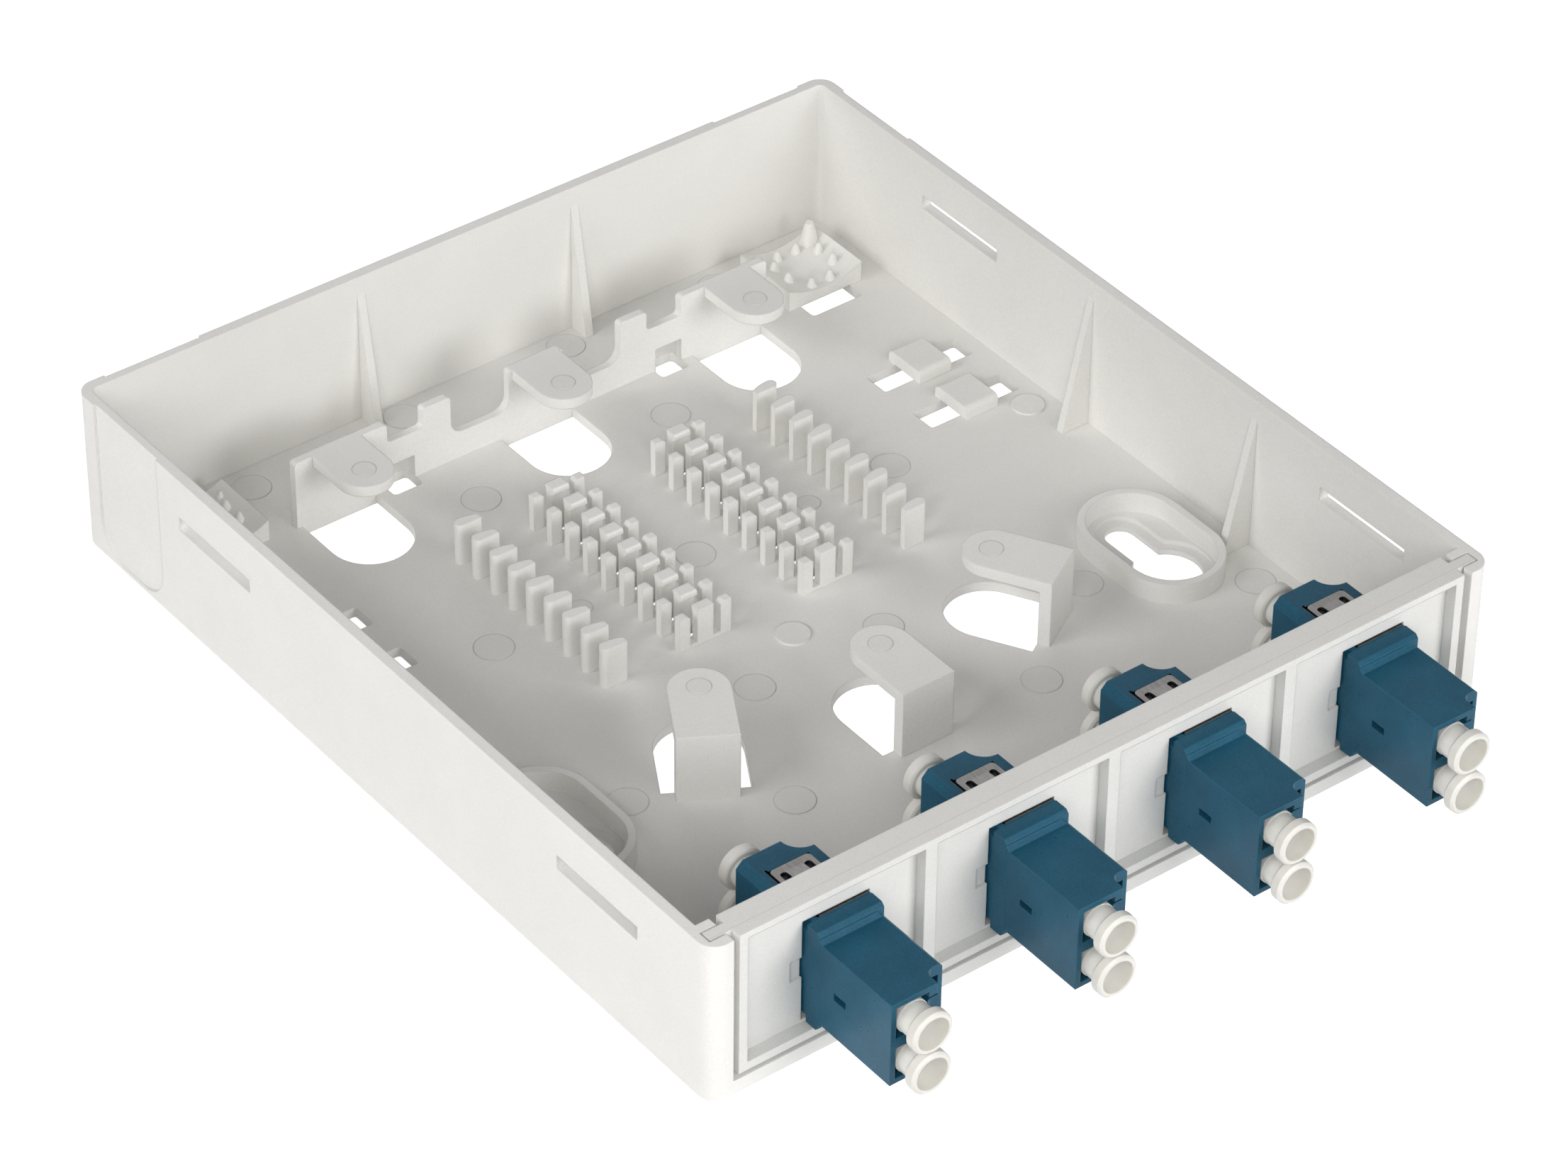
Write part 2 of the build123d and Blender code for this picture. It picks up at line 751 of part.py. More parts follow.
clip_width = body_width - clip_inset_left - clip_inset_right
clip_left_x = -body_width / 2 + clip_inset_left
clip_x = clip_left_x + clip_width / 2
clip_plane = Plane.XZ.offset(-clip_front_y)
pocket_depth = clip_thick + clip_pocket_clearance
left_middle = (Align.MIN, Align.CENTER)

with BuildPart() as rear_shell:
    with BuildSketch(joint_plane):
        with Locations((0, adapter_z)):
            Rectangle(body_width, rear_body_height)
    extrude(amount=-rear_reach)
    left_edges = rear_shell.edges().filter_by(Axis.Y).group_by(Axis.X)[0]
    chamfer(left_edges, rear_edge_chamfer)

    # Round notches at the rear right corners
    notch_depth = (rear_body_height - front_body_height) / 2
    for half in (-1, 1):
        with BuildSketch(Plane.XY.offset(adapter_z + half * rear_body_height / 2)):
            with Locations((body_width / 2, joint_y + rear_reach)):
                Circle(rear_notch_radius)
        extrude(amount=-half * notch_depth, mode=Mode.SUBTRACT)

    # Plug cavities with their latch slots
    with BuildSketch(tail_plane):
        for port_z in port_zs:
            with Locations((port_shift, port_z)):
                Rectangle(port_size, port_size)
            with Locations((port_right_x, port_z)):
                Rectangle(latch_length, latch_height, align=(Align.MIN, Align.CENTER))
    extrude(amount=rear_reach - web_thick, mode=Mode.SUBTRACT)

    # Clip pocket round the right side, with leaf pockets on the top and the bottom
    with BuildSketch(clip_plane):
        with Locations((clip_left_x - clip_pocket_clearance, adapter_z)):
            Rectangle(body_width, rear_body_height, align=left_middle)
        with Locations((clip_left_x - clip_pocket_clearance, adapter_z)):
            Rectangle(
                body_width - clip_inset_left + clip_pocket_clearance - pocket_depth,
                rear_body_height - 2 * pocket_depth, align=left_middle, mode=Mode.SUBTRACT,
            )
    extrude(amount=-(clip_strap_length + clip_pocket_clearance), mode=Mode.SUBTRACT)
    with BuildSketch(clip_plane):
        with Locations((clip_x, adapter_z)):
            Rectangle(clip_width + 2 * clip_pocket_clearance, rear_body_height)
            Rectangle(
                clip_width + 2 * clip_pocket_clearance, rear_body_height - 2 * pocket_depth,
                mode=Mode.SUBTRACT,
            )
    extrude(amount=-(clip_length + clip_pocket_clearance), mode=Mode.SUBTRACT)

    # Seat of the sleeve holder
    with BuildSketch(joint_plane):
        with Locations((port_shift, adapter_z)):
            Rectangle(holder_flange_width, holder_flange_height)
    extrude(amount=-holder_flange_thick / 2, mode=Mode.SUBTRACT)
    with BuildSketch(joint_plane):
        for port_z in port_zs:
            with Locations((port_shift, port_z)):
                Circle(holder_tube_diameter / 2 + holder_fit)
    extrude(amount=-web_thick, mode=Mode.SUBTRACT)

slot_front_y = plate_rear_y + clip_tongue_gap
slot_rear_y = clip_rear_y - clip_slot_setback
tongue_width = clip_slot_spacing - clip_slot_width

with BuildPart() as spring_clip:
    with BuildSketch(clip_plane):
        with Locations((clip_left_x, adapter_z)):
            Rectangle(body_width - clip_inset_left, rear_body_height, align=left_middle)
            Rectangle(
                body_width - clip_inset_left - clip_thick, rear_body_height - 2 * clip_thick,
                align=left_middle, mode=Mode.SUBTRACT,
            )
    extrude(amount=-clip_strap_length)
    with BuildSketch(clip_plane):
        with Locations((clip_x, adapter_z)):
            Rectangle(clip_width, rear_body_height)
            Rectangle(clip_width, rear_body_height - 2 * clip_thick, mode=Mode.SUBTRACT)
    extrude(amount=-clip_length)

    # Opening for the tongue with its two slots
    with BuildSketch(Plane.XY.offset(adapter_z)):
        with Locations((clip_x, slot_front_y)):
            Rectangle(
                clip_slot_spacing + clip_slot_width, slot_rear_y - slot_front_y,
                align=(Align.CENTER, Align.MIN),
            )
    extrude(amount=rear_body_height, both=True, mode=Mode.SUBTRACT)

    # Tongues that bear on the rear of the plate
    with BuildSketch(Plane.YZ.offset(clip_x)):
        for half in (-1, 1):
            leaf_z = adapter_z + half * rear_body_height / 2
            with BuildLine():
                Polyline(
                    (slot_rear_y, leaf_z),
                    (slot_rear_y, leaf_z - half * clip_thick),
                    (slot_front_y, leaf_z + half * (clip_tongue_rise - clip_thick)),
                    (slot_front_y, leaf_z + half * clip_tongue_rise),
                    close=True,
                )
            make_face()
    extrude(amount=tongue_width / 2, both=True)

with BuildPart() as sleeve_holder:
    with BuildSketch(joint_plane):
        with Locations((port_shift, adapter_z)):
            Rectangle(holder_flange_width, holder_flange_height)
    extrude(amount=holder_flange_thick / 2, both=True)
    with BuildSketch(joint_plane):
        for port_z in port_zs:
            with Locations((port_shift, port_z)):
                Circle(holder_tube_diameter / 2)
    extrude(amount=holder_tube_length / 2, both=True)
    with BuildSketch(joint_plane):
        for port_z in port_zs:
            with Locations((port_shift, port_z)):
                Circle(sleeve_bore / 2)
    extrude(amount=holder_tube_length / 2, both=True, mode=Mode.SUBTRACT)
    with BuildSketch(joint_plane):
        for port_z in port_zs:
            with Locations((port_shift, port_z)):
                Circle(holder_tube_bore / 2)
    extrude(amount=holder_tube_length / 2 - bore_lip, both=True, mode=Mode.SUBTRACT)

# Split alignment sleeve on the joint plane, centred on its own axis
with BuildPart() as ceramic_sleeve:
    with BuildSketch(Plane.XZ):
        Circle(sleeve_diameter / 2)
        Circle(sleeve_bore / 2, mode=Mode.SUBTRACT)
        Rectangle(sleeve_diameter, sleeve_slit, align=left_middle, mode=Mode.SUBTRACT)
    extrude(amount=sleeve_length / 2, both=True)

# Dust cap pointing to the front, its stem starting at the mouth of the port
cap_flange_radius = cap_flange_diameter / 2
cap_rim_y = -cap_neck_length - cap_flange_length

with BuildPart() as dust_cap:
    with BuildSketch() as cap_profile:
        with BuildLine():
            Polyline(
                (0, cap_rim_y + cap_cup_depth),
                (cap_cup_diameter / 2 - cap_rim_bevel, cap_rim_y + cap_cup_depth),
                (cap_cup_diameter / 2, cap_rim_y),
                (cap_flange_radius, cap_rim_y),
                (cap_flange_radius, -cap_neck_length),
                (cap_neck_diameter / 2, -cap_neck_length),
                (cap_neck_diameter / 2, 0),
                (cap_stem_diameter / 2, 0),
                (cap_stem_diameter / 2, cap_stem_length),
                (cap_bore_diameter / 2, cap_stem_length),
                (cap_bore_diameter / 2, cap_stem_length - cap_bore_depth),
                (0, cap_stem_length - cap_bore_depth),
                close=True,
            )
        make_face()
        flange_corners = cap_profile.vertices().group_by(Axis.X)[-1]
        chamfer(flange_corners, cap_rim_bevel)
    revolve(axis=Axis.Y)

nose_y = joint_y - front_reach
tail_y = joint_y + rear_reach

for number in range(1, adapter_count + 1):
    x = field_x(number) + adapter_shift
    pieces = {
        "adapter_front_shell": (front_shell, Location((x, 0, 0))),
        "adapter_rear_shell": (rear_shell, Location((x, 0, 0))),
        "spring_clip": (spring_clip, Location((x, 0, 0))),
        "sleeve_holder": (sleeve_holder, Location((x, 0, 0))),
    }
    for height_name, port_z in zip(("upper", "lower"), port_zs):
        port_x = x + port_shift
        sleeve_place = Location((port_x, joint_y, port_z))
        front_place = Location((port_x, nose_y, port_z))
        rear_place = Location((port_x, tail_y, port_z), (0, 0, 180))
        pieces[f"ceramic_sleeve_{height_name}"] = (ceramic_sleeve, sleeve_place)
        pieces[f"cap_front_{height_name}"] = (dust_cap, front_place)
        pieces[f"cap_rear_{height_name}"] = (dust_cap, rear_place)
    for name, (piece, place) in pieces.items():
        placed = piece.part.moved(place)
        placed.label = f"{name}_{number}"
        export_step(placed, f"parts/{placed.label}.step")
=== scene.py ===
import json
import math

import bmesh
import bpy
from mathutils import Matrix, Vector

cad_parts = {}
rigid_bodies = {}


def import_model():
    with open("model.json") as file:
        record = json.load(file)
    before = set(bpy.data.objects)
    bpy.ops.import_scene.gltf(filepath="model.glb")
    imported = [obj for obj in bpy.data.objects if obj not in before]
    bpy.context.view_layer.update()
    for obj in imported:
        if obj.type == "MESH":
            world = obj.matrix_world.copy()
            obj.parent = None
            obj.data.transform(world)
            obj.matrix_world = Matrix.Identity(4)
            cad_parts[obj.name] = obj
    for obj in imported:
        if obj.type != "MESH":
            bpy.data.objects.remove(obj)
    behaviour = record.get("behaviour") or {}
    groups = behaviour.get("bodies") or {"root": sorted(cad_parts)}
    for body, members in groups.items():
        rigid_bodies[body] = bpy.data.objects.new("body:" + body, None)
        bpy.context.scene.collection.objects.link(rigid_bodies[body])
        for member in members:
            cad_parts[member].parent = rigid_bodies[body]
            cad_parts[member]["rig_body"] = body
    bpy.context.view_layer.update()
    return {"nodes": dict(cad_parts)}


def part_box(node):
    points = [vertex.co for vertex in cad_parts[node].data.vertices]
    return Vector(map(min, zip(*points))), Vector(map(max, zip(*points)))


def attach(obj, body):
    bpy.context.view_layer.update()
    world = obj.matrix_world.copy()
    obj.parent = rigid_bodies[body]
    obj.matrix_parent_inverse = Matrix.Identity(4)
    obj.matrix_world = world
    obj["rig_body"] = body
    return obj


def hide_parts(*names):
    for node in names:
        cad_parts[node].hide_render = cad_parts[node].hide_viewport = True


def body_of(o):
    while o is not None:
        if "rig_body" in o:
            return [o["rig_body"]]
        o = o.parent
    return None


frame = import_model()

mm = 0.001
nodes = frame["nodes"]
print("frame loaded:", len(nodes), "nodes")

# Noise crowds round its middle, so only this part of its range is spread out
noiseSpan = (0.3, 0.7)
mottleSpan = (0.35, 0.65)
fineDetail = 2.0    # octaves of the finest noises, such as grain and speckle
edgeSamples = 4


# Helpers for the materials
def newMaterial(name):
    mat = bpy.data.materials.new(name)
    mat.use_nodes = True
    tree = mat.node_tree
    coord = tree.nodes.new("ShaderNodeTexCoord")
    return mat, tree, tree.nodes["Principled BSDF"], coord.outputs["Object"]


def addNoise(tree, coords, scale, detail=3.0, roughness=0.55):
    noise = tree.nodes.new("ShaderNodeTexNoise")
    noise.inputs["Scale"].default_value = scale
    noise.inputs["Detail"].default_value = detail
    noise.inputs["Roughness"].default_value = roughness
    tree.links.new(coords, noise.inputs["Vector"])
    return noise.outputs["Fac"]


def addRange(tree, value, span, outLow, outHigh):
    ranger = tree.nodes.new("ShaderNodeMapRange")
    ranger.inputs["From Min"].default_value, ranger.inputs["From Max"].default_value = span
    ranger.inputs["To Min"].default_value = outLow
    ranger.inputs["To Max"].default_value = outHigh
    tree.links.new(value, ranger.inputs["Value"])
    return ranger.outputs["Result"]


def addMath(tree, operation, first, second=None):
    node = tree.nodes.new("ShaderNodeMath")
    node.operation = operation
    for place, value in enumerate((first, second)):
        if value is None:
            continue
        if isinstance(value, (int, float)):
            node.inputs[place].default_value = value
        else:
            tree.links.new(value, node.inputs[place])
    return node.outputs["Value"]


def addMix(tree, factor, colourA, colourB):
    mix = tree.nodes.new("ShaderNodeMix")
    mix.data_type = "RGBA"
    tree.links.new(factor, mix.inputs["Factor"])
    for socket, value in ((mix.inputs["A"], colourA), (mix.inputs["B"], colourB)):
        if isinstance(value, tuple):
            socket.default_value = value
        else:
            tree.links.new(value, socket)
    return mix.outputs["Result"]


def addBump(tree, height, strength, depth, normal=None):
    bump = tree.nodes.new("ShaderNodeBump")
    bump.inputs["Strength"].default_value = strength
    bump.inputs["Distance"].default_value = depth * mm
    tree.links.new(height, bump.inputs["Height"])
    if normal is not None:
        tree.links.new(normal, bump.inputs["Normal"])
    return bump.outputs["Normal"]


def addSplit(tree, coords):
    split = tree.nodes.new("ShaderNodeSeparateXYZ")
    tree.links.new(coords, split.inputs["Vector"])
    return split.outputs


def softEdges(tree, radius):
    bevel = tree.nodes.new("ShaderNodeBevel")
    bevel.samples = edgeSamples
    bevel.inputs["Radius"].default_value = radius * mm
    return bevel.outputs["Normal"]


def addMottle(tree, noise, dark, light):
    return addMix(tree, addRange(tree, noise, mottleSpan, 0.0, 1.0), dark, light)


# A fine speckle that makes the colour a little lighter and darker, and shade, which below 1 is
# painted shade, darkens all of it
def addSpeckle(tree, coords, colour, look, shade):
    noise = addNoise(tree, coords, look["speckle"], fineDetail)
    low, high = 1.0 - look["speckleDepth"], 1.0 + look["speckleDepth"]
    scaled = tree.nodes.new("ShaderNodeVectorMath")
    scaled.operation = "SCALE"
    tree.links.new(colour, scaled.inputs[0])
    factor = addRange(tree, noise, noiseSpan, low * shade, high * shade)
    tree.links.new(factor, scaled.inputs["Scale"])
    return scaled.outputs["Vector"]


def setRoughness(tree, shader, noise, look):
    rough = addRange(tree, noise, noiseSpan, look["roughLow"], look["roughHigh"])
    tree.links.new(rough, shader.inputs["Roughness"])


def setGrain(tree, shader, coords, look, normal):
    grain = addNoise(tree, coords, look["grain"], fineDetail)
    bump = addBump(tree, grain, look["grainStrength"], look["grainDepth"], normal)
    tree.links.new(bump, shader.inputs["Normal"])


def setSubsurface(shader, look):
    shader.inputs["Subsurface Weight"].default_value = look["subsurface"]
    shader.inputs["Subsurface Radius"].default_value = look["subsurfaceTint"]
    shader.inputs["Subsurface Scale"].default_value = look["subsurfaceDepth"] * mm


# The white moulding plastic of the tray and the plate, lengths in millimetres
plasticLook = {
    "trayTone": 1.0, "plateTone": 0.93,
    "light": (0.840, 0.828, 0.797), "shade": (0.812, 0.799, 0.766),
    "mottle": 55.0, "mottleDetail": 4.0, "mottleRough": 0.6,
    "speckle": 5200.0, "speckleDepth": 0.045,
    "wear": 320.0, "roughLow": 0.40, "roughHigh": 0.52,
    "grain": 3200.0, "grainStrength": 0.3, "grainDepth": 0.05,
    "edge": 0.25,
    "subsurface": 0.12, "subsurfaceTint": (1.0, 0.9, 0.8), "subsurfaceDepth": 0.8,
    "seamAndRimShadeColour": (0.60, 0.585, 0.555, 1.0), "rimShadeDepth": 0.55,
    "partingY": -66.34, "partingTop": 24.4, "partingWidth": 0.07, "partingDepth": 0.55,
    "partingWaver": 0.04, "partingNoise": 900.0,
    "speckSpacing": 11.0, "speckRadius": 0.09, "speckShare": 0.30,
    "speckColour": (0.36, 0.31, 0.25, 1.0), "speckDepth": 0.6,
}

# Round lands that the ejector pins left, in millimetres: x, y and radius, where x counts for both
# sides. A land's line of painted shade is drawn where the surface lies within lineReach of its
# group's height
pinMarks = {
    "floor": [
        (15.6, 42.48, 2.7), (38.5, 62.68, 2.7), (13.5, 63.68, 2.7), (32.3, 15.98, 2.7),
        (18.6, 15.98, 1.6), (10.4, -10.47, 2.7), (36.7, -18.92, 2.7), (19.8, -31.12, 2.7),
        (55.0, -32.02, 2.7), (0.0, 16.08, 2.7),
    ],
    "tabs": [(0.0, 45.35, 1.6), (31.9, 45.35, 1.6)],
    "fingers": [(0.0, -22.75, 1.6), (23.4, -15.95, 1.6)],
    "tops": {"floor": 1.5, "tabs": 12.1, "fingers": 11.6},
    "height": 0.07, "sunk": 0.03, "edge": 0.05, "edgeSegments": 2, "sides": 64,
    "lineWidth": 0.07, "lineReach": 0.12,
}


# Thin dark lines round the pin lands: painted shade along the small step at each land's rim
def rimShadeLines(tree, coords):
    look = pinMarks
    x, y, z = addSplit(tree, coords)
    flat = tree.nodes.new("ShaderNodeCombineXYZ")
    tree.links.new(addMath(tree, "ABSOLUTE", x), flat.inputs["X"])
    tree.links.new(y, flat.inputs["Y"])
    allLines = None
    for group, top in look["tops"].items():
        lines = None
        for markX, markY, radius in look[group]:
            distance = tree.nodes.new("ShaderNodeVectorMath")
            distance.operation = "DISTANCE"
            distance.inputs[1].default_value = (markX * mm, markY * mm, 0)
            tree.links.new(flat.outputs["Vector"], distance.inputs[0])
            offset = addMath(tree, "SUBTRACT", distance.outputs["Value"], radius * mm)
            away = addMath(tree, "ABSOLUTE", offset)
            line = addMath(tree, "LESS_THAN", away, look["lineWidth"] * mm)
            lines = line if lines is None else addMath(tree, "MAXIMUM", lines, line)
        rise = addMath(tree, "SUBTRACT", z, top * mm)
        near = addMath(tree, "LESS_THAN", addMath(tree, "ABSOLUTE", rise), look["lineReach"] * mm)
        lines = addMath(tree, "MULTIPLY", lines, near)
        allLines = lines if allLines is None else addMath(tree, "MAXIMUM", allLines, lines)
    return addMath(tree, "MULTIPLY", allLines, plasticLook["rimShadeDepth"])


# The seam of the mould along the top of the plate, a little uneven
def partingLine(tree, coords):
    look = plasticLook
    split = addSplit(tree, coords)
    reach = look["partingWaver"] * mm
    waver = addRange(tree, addNoise(tree, coords, look["partingNoise"]), noiseSpan, -reach, reach)
    moved = addMath(tree, "ADD", split["Y"], waver)
    offset = addMath(tree, "SUBTRACT", moved, look["partingY"] * mm)
    line = addMath(tree, "LESS_THAN", addMath(tree, "ABSOLUTE", offset), look["partingWidth"] * mm)
    top = addMath(tree, "GREATER_THAN", split["Z"], look["partingTop"] * mm)
    return addMath(tree, "MULTIPLY", addMath(tree, "MULTIPLY", line, top), look["partingDepth"])


# Sparse dark specks in the plastic
def specks(tree, coords):
    look = plasticLook
    cells = tree.nodes.new("ShaderNodeTexVoronoi")
    cells.inputs["Scale"].default_value = 1 / (look["speckSpacing"] * mm)
    tree.links.new(coords, cells.inputs["Vector"])
    reach = look["speckRadius"] / look["speckSpacing"]
    dot = addMath(tree, "LESS_THAN", cells.outputs["Distance"], reach)
    chosen = tree.nodes.new("ShaderNodeSeparateColor")
    tree.links.new(cells.outputs["Color"], chosen.inputs["Color"])
    kept = addMath(tree, "LESS_THAN", chosen.outputs["Red"], look["speckShare"])
    return addMath(tree, "MULTIPLY", addMath(tree, "MULTIPLY", dot, kept), look["speckDepth"])


# The drawLines function gives the lines that only this piece has
def whitePlastic(name, tone, drawLines):
    mat, tree, shader, coords = newMaterial(name)
    look = plasticLook
    light, shade = (tuple(c * tone for c in look[key]) + (1.0,) for key in ("light", "shade"))
    mottle = addNoise(tree, coords, look["mottle"], look["mottleDetail"], look["mottleRough"])
    colour = addMottle(tree, mottle, shade, light)
    colour = addSpeckle(tree, coords, colour, look, 1.0)
    colour = addMix(tree, specks(tree, coords), colour, look["speckColour"])
    # The lines: the mould seam on the plate, and on the tray painted shade round the pin lands
    colour = addMix(tree, drawLines(tree, coords), colour, look["seamAndRimShadeColour"])
    tree.links.new(colour, shader.inputs["Base Color"])
    setRoughness(tree, shader, addNoise(tree, coords, look["wear"]), look)
    setGrain(tree, shader, coords, look, softEdges(tree, look["edge"]))
    setSubsurface(shader, look)
    return mat


# Caps, sleeve holders and ceramic sleeves: what they share, and then what each has of its own
smallLook = {
    "mottle": 160.0, "wear": 900.0,
    "grain": 3200.0, "grainStrength": 0.10, "grainDepth": 0.04,
    "subsurface": 0.0, "subsurfaceTint": (1.0, 0.9, 0.75), "subsurfaceDepth": 0.8,
}
capLook = {
    **smallLook, "light": (0.765, 0.748, 0.703, 1.0), "dark": (0.725, 0.708, 0.660, 1.0),
    "roughLow": 0.32, "roughHigh": 0.42, "edge": 0.15, "subsurface": 0.45,
}
holderLook = {
    **smallLook, "light": (0.80, 0.79, 0.76, 1.0), "dark": (0.76, 0.75, 0.72, 1.0),
    "roughLow": 0.45, "roughHigh": 0.55, "edge": 0.1,
}
ceramicLook = {
    **smallLook, "light": (0.88, 0.88, 0.85, 1.0), "dark": (0.85, 0.85, 0.82, 1.0),
    "roughLow": 0.12, "roughHigh": 0.18, "edge": 0.05,
}


def plainPlastic(name, look):
    mat, tree, shader, coords = newMaterial(name)
    colour = addMottle(tree, addNoise(tree, coords, look["mottle"]), look["dark"], look["light"])
    tree.links.new(colour, shader.inputs["Base Color"])
    setRoughness(tree, shader, addNoise(tree, coords, look["wear"]), look)
    setGrain(tree, shader, coords, look, softEdges(tree, look["edge"]))
    setSubsurface(shader, look)
    return mat


# The coloured adapter bodies: satin plastic with a fine speckle, with painted shade in the seats of
# the clips.
# An edge gets a painted highlight colour as far as it turns away by the edge highlight span, which
# is a cosine
adapterLook = {
    "light": (0.0125, 0.094, 0.158, 1.0), "dark": (0.0100, 0.077, 0.131, 1.0),
    "mottle": 160.0, "wear": 900.0, "speckle": 5200.0, "speckleDepth": 0.20,
    "roughLow": 0.27, "roughHigh": 0.38, "specular": 0.16,
    "grain": 3600.0, "grainStrength": 0.2, "grainDepth": 0.04,
    "edge": 0.24, "edgeHighlightColour": (0.060, 0.200, 0.290, 1.0), "edgeHighlightStrength": 0.6,
    "edgeHighlightSpan": (0.82, 0.99),
    # Painted shade: how far the seats of the clips are darkened
    "paintedSeatShade": 0.03,
}


def adapterPlastic(name, shade):
    look = adapterLook
    mat, tree, shader, coords = newMaterial(name)
    colour = addMottle(tree, addNoise(tree, coords, look["mottle"]), look["dark"], look["light"])
    colour = addSpeckle(tree, coords, colour, look, shade)
    # Painted highlight: moulded edges are painted a little lighter than the faces, as if they
    # caught the light
    rounded = softEdges(tree, look["edge"])
    turned = tree.nodes.new("ShaderNodeVectorMath")
    turned.operation = "DOT_PRODUCT"
    tree.links.new(rounded, turned.inputs[0])
    tree.links.new(tree.nodes.new("ShaderNodeNewGeometry").outputs["Normal"], turned.inputs[1])
    edge = addRange(tree, turned.outputs["Value"], look["edgeHighlightSpan"], look["edgeHighlightStrength"] * shade, 0.0)
    colour = addMix(tree, edge, colour, look["edgeHighlightColour"])
    tree.links.new(colour, shader.inputs["Base Color"])
    setRoughness(tree, shader, addNoise(tree, coords, look["wear"]), look)
    setGrain(tree, shader, coords, look, rounded)
    shader.inputs["Specular IOR Level"].default_value = look["specular"]
    return mat


# Brushed spring steel: the brush marks run along the adapter, drawn out by brushStretch
steelLook = {
    "dark": (0.165, 0.160, 0.156, 1.0), "light": (0.245, 0.237, 0.232, 1.0),
    "brush": 6000.0, "brushDetail": 4.0, "brushStretch": 0.08,
    "brushStrength": 0.15, "brushDepth": 0.02,
    "roughLow": 0.28, "roughHigh": 0.42,
}


def clipSteel(name):
    look = steelLook
    mat, tree, shader, coords = newMaterial(name)
    stretch = tree.nodes.new("ShaderNodeMapping")
    stretch.inputs["Scale"].default_value = (1.0, look["brushStretch"], 1.0)
    tree.links.new(coords, stretch.inputs["Vector"])
    brushed = addNoise(tree, stretch.outputs["Vector"], look["brush"], look["brushDetail"])
    colour = addMix(tree, addRange(tree, brushed, noiseSpan, 0.0, 1.0), look["dark"], look["light"])
    tree.links.new(colour, shader.inputs["Base Color"])
    shader.inputs["Metallic"].default_value = 1.0
    setRoughness(tree, shader, brushed, look)
    bump = addBump(tree, brushed, look["brushStrength"], look["brushDepth"])
    tree.links.new(bump, shader.inputs["Normal"])
    return mat


trayMaterial = whitePlastic("trayPlastic", plasticLook["trayTone"], rimShadeLines)
plateMaterial = whitePlastic("platePlastic", plasticLook["plateTone"], partingLine)
adapterMaterial = adapterPlastic("adapterPlastic", 1.0)
# The adapter plastic darkened almost to black: painted shade for the seats of the clips
seatShadeMaterial = adapterPlastic("adapterPaintedSeatShade", adapterLook["paintedSeatShade"])
capMaterial = plainPlastic("capPlastic", capLook)
holderMaterial = plainPlastic("holderPlastic", holderLook)
ceramicMaterial = plainPlastic("ceramic", ceramicLook)
steelMaterial = clipSteel("clipSteel")

# How each node's name starts, and its finish
finishes = {
    "tray": trayMaterial,
    "adapter_plate": plateMaterial,
    "adapter_front_shell": adapterMaterial,
    "adapter_rear_shell": adapterMaterial,
    "spring_clip": steelMaterial,
    "sleeve_holder": holderMaterial,
    "ceramic_sleeve": ceramicMaterial,
    "cap_": capMaterial,
}
for nodeName, node in nodes.items():
    for start, material in finishes.items():
        if nodeName.startswith(start):
            for slot in node.material_slots:
                slot.material = material
print("materials on all nodes")

# How close points lie to become one, or to count as in place, in millimetres, and the angle in
# degrees below which neighbouring faces are flat
meshLook = {"mergeDist": 0.0005, "cleanDist": 0.001, "match": 0.02, "flatAngle": 0.5}


# Helpers for the pieces
def newPiece(name, mesh, materials=()):
    data = bpy.data.meshes.new(name)
    mesh.to_mesh(data)
    mesh.free()
    for material in materials:
        data.materials.append(material)
    piece = bpy.data.objects.new(name, data)
    bpy.context.scene.collection.objects.link(piece)
    return piece


def mergedMesh(nodeName):
    merged = bmesh.new()
    merged.from_mesh(nodes[nodeName].data)
    bmesh.ops.remove_doubles(merged, verts=merged.verts[:], dist=meshLook["mergeDist"] * mm)
    return merged


def standFor(piece, nodeName):
    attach(piece, body_of(nodes[nodeName])[0])
    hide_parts(nodeName)


def isAt(value, place):
    return abs(value - place) < meshLook["match"]


# The pin lands are thin discs that stand a little out of the tray, with their rims rounded
landMesh = bmesh.new()
landDepth = pinMarks["height"] + pinMarks["sunk"]
for group, top in pinMarks["tops"].items():
    middleZ = top + (pinMarks["height"] - pinMarks["sunk"]) / 2
    for x, y, radius in pinMarks[group]:
        for side in ((1, -1) if x else (1,)):
            land = bmesh.ops.create_cone(
                landMesh, cap_ends=True, segments=pinMarks["sides"],
                radius1=radius * mm, radius2=radius * mm, depth=landDepth * mm)
            place = Vector((side * x, y, middleZ)) * mm
            bmesh.ops.translate(landMesh, verts=land["verts"], vec=place)
            rimZ = max(v.co.z for v in land["verts"]) - meshLook["cleanDist"] * mm
            edges = dict.fromkeys(edge for v in land["verts"] for edge in v.link_edges)
            rim = [edge for edge in edges if min(v.co.z for v in edge.verts) > rimZ]
            bmesh.ops.bevel(landMesh, geom=rim, offset=pinMarks["edge"] * mm, affect="EDGES",
                            segments=pinMarks["edgeSegments"], profile=0.5, material=-1)
pinLands = newPiece("pinLands", landMesh, [trayMaterial])
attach(pinLands, body_of(nodes["tray"])[0])
print("pin lands on the tray:", len(pinLands.data.polygons), "faces")

# What is cut from the adapter bodies, in millimetres: x from the adapter's middle, and y from the
# joint of its halves or, on the nose, from its front
adapterCuts = {
    "middleZ": 12.25, "beyond": 2.0,
    "noseKeep": 2.1, "noseBack": 2.5, "noseCorner": 1.1, "noseSegments": 12,
    "biteX": 4.75, "biteRadius": 2.85, "biteSides": 48, "biteTall": 30.0,
    "gapLeft": 2.65, "gapWidth": 0.32, "gapOverlap": 0.02,
    "gapStart": 0.4, "gapLength": 10.7, "gapDeep": 1.0, "gapBeyond": 1.0,
}

